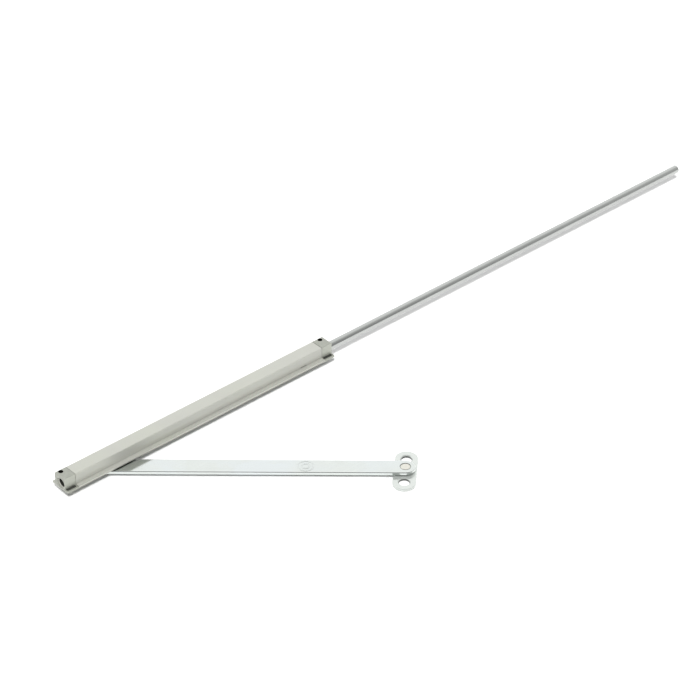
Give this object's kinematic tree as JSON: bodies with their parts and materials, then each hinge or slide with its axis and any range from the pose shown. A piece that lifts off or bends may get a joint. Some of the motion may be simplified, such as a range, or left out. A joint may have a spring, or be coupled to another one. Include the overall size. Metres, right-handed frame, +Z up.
{
  "type": "concealed slide-rail door closer",
  "caption": "Hat-section aluminium slide rail with end caps, a swing arm pivoted on its inner slide block, a two-hole foot at the arm's end, and a long push rod leaving one cap.",
  "frame": {"origin": "midway between the two fixing-screw holes, on the plane of the flange's upper bearing face", "axes": "+Y along the rail towards the push rod's free end, +Z up into the door frame, +X the side the arm swings to at rest"},
  "size_m": [0.255, 0.941, 0.0247],
  "materials": {
    "rail_aluminium": "satin anodised, drawn lengthwise",
    "cap_zinc": "matt zinc die casting",
    "ring_plastic": "natural acetal",
    "buffer_rubber": "matt black rubber",
    "block_steel": "machined steel",
    "glider_plastic": "black acetal",
    "rod_steel": "bright zinc-plated drawn steel",
    "black_screws": "black oxide",
    "pin_steel": "bright zinc-plated steel",
    "spring_clip": "blued spring steel",
    "bush_brass": "sintered bronze",
    "washer_steel": "bright zinc-plated steel",
    "arm_steel": "bright zinc-plated flat bar",
    "foot_steel": "bright zinc-plated stamping"
  },
  "bodies": {
    "housing": {"rail": "rail_aluminium", "near_cap": "cap_zinc", "far_cap": "cap_zinc", "near_ring": "ring_plastic", "far_ring": "ring_plastic", "near_buffer": "buffer_rubber", "far_buffer": "buffer_rubber"},
    "carriage": {"slide_block": "block_steel", "top_gliders": "glider_plastic", "side_gliders": "glider_plastic", "lip_gliders": "glider_plastic", "rod": "rod_steel", "rod_screws": "black_screws", "pivot_pin": "pin_steel", "pivot_clip": "spring_clip", "pivot_spacer": "bush_brass", "pivot_washer": "washer_steel"},
    "swing_arm": {"arm": "arm_steel", "arm_bush": "bush_brass", "foot_bush": "bush_brass"},
    "foot": {"foot_plate": "foot_steel", "foot_rivet": "pin_steel", "foot_washer": "washer_steel"}
  },
  "joints": [
    {"name": "carriage_slide", "type": "slide", "parent": "housing", "child": "carriage", "axis": [0, 1, 0], "range_m": [-0.007, 0.216]},
    {"name": "arm_swing", "type": "hinge", "parent": "carriage", "child": "swing_arm", "pos_m": [0.0051, -0.1265, -0.0052], "axis": [0, 0, 1], "range_deg": [-108, 42]},
    {"name": "foot_swivel", "type": "hinge", "parent": "swing_arm", "child": "foot", "pos_m": [0.21922, 0.11131, -0.0052], "axis": [0, 0, 1], "continuous": true}
  ]
}
